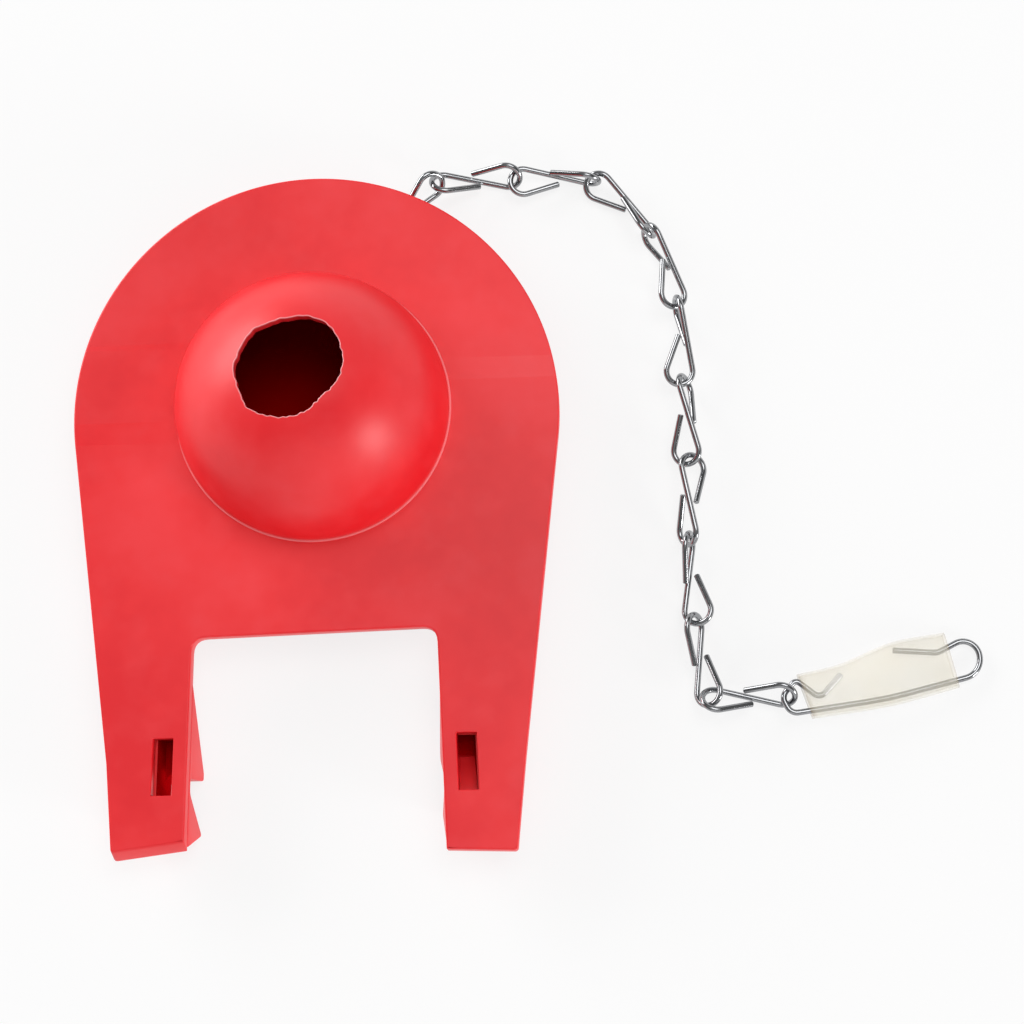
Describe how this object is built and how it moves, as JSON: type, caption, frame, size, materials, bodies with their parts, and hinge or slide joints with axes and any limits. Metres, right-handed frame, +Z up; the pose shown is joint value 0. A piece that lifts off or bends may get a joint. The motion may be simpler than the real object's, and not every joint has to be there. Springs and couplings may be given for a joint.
{
  "type": "toilet flapper",
  "caption": "Rubber flapper for a toilet flush valve: round seat with a hollow bulb, two arms with peg hooks, and a wire link lift chain that ends in a sleeved wire clip.",
  "frame": {"origin": "centre of the base of the whole part's bounding box, on the surface that it lies on", "axes": "+Z up, the way the bulb points; +Y from the hooked arms to the round end of the plate; +X to the right, the side on which the chain lies"},
  "size_m": [0.1428, 0.1116, 0.0322],
  "materials": {
    "red_rubber": "soft sheen",
    "steel_wire": "bright drawn wire",
    "clear_vinyl": "clear, glossy and slightly yellowed"
  },
  "bodies": {
    "flapper": {"flapper_body": "red_rubber"},
    "link_01": {"link_01": "steel_wire"},
    "link_02": {"link_02": "steel_wire"},
    "link_03": {"link_03": "steel_wire"},
    "link_04": {"link_04": "steel_wire"},
    "link_05": {"link_05": "steel_wire"},
    "link_06": {"link_06": "steel_wire"},
    "link_07": {"link_07": "steel_wire"},
    "link_08": {"link_08": "steel_wire"},
    "link_09": {"link_09": "steel_wire"},
    "link_10": {"link_10": "steel_wire"},
    "link_11": {"link_11": "steel_wire"},
    "link_12": {"link_12": "steel_wire"},
    "clip": {"chain_clip": "steel_wire", "clip_sleeve": "clear_vinyl"}
  },
  "joints": [
    {"name": "tab_swivel", "type": "hinge", "parent": "flapper", "child": "link_01", "pos_m": [-0.03296, 0.04591, 0.0024], "axis": [0, 0, 1], "range_deg": [-12, 12]},
    {"name": "link_02_swivel", "type": "hinge", "parent": "link_01", "child": "link_02", "pos_m": [-0.02181, 0.04367, 0.00248], "axis": [0, 0, 1], "range_deg": [-12, 12]},
    {"name": "link_03_swivel", "type": "hinge", "parent": "link_02", "child": "link_03", "pos_m": [-0.01344, 0.05387, 0.00255], "axis": [0, 0, 1], "range_deg": [-12, 12]},
    {"name": "link_04_swivel", "type": "hinge", "parent": "link_03", "child": "link_04", "pos_m": [-0.00057, 0.0535, 0.00255], "axis": [0, 0, 1], "range_deg": [-12, 12]},
    {"name": "link_05_swivel", "type": "hinge", "parent": "link_04", "child": "link_05", "pos_m": [0.01235, 0.053, 0.00255], "axis": [0, 0, 1], "range_deg": [-12, 12]},
    {"name": "link_06_swivel", "type": "hinge", "parent": "link_05", "child": "link_06", "pos_m": [0.02117, 0.04395, 0.00278], "axis": [0, 0, 1], "range_deg": [-12, 12]},
    {"name": "link_07_swivel", "type": "hinge", "parent": "link_06", "child": "link_07", "pos_m": [0.02522, 0.03191, 0.003], "axis": [0, 0, 1], "range_deg": [-12, 12]},
    {"name": "link_08_swivel", "type": "hinge", "parent": "link_07", "child": "link_08", "pos_m": [0.02555, 0.01899, 0.003], "axis": [0, 0, 1], "range_deg": [-12, 12]},
    {"name": "link_09_swivel", "type": "hinge", "parent": "link_08", "child": "link_09", "pos_m": [0.02649, 0.00605, 0.003], "axis": [0, 0, 1], "range_deg": [-12, 12]},
    {"name": "link_10_swivel", "type": "hinge", "parent": "link_09", "child": "link_10", "pos_m": [0.02622, -0.00677, 0.003], "axis": [0, 0, 1], "range_deg": [-12, 12]},
    {"name": "link_11_swivel", "type": "hinge", "parent": "link_10", "child": "link_11", "pos_m": [0.02666, -0.01958, 0.003], "axis": [0, 0, 1], "range_deg": [-12, 12]},
    {"name": "link_12_swivel", "type": "hinge", "parent": "link_11", "child": "link_12", "pos_m": [0.02772, -0.03249, 0.00315], "axis": [0, 0, 1], "range_deg": [-12, 12]},
    {"name": "clip_swivel", "type": "hinge", "parent": "link_12", "child": "clip", "pos_m": [0.04096, -0.0323, 0.0033], "axis": [0, 0, 1], "range_deg": [-12, 12]}
  ]
}
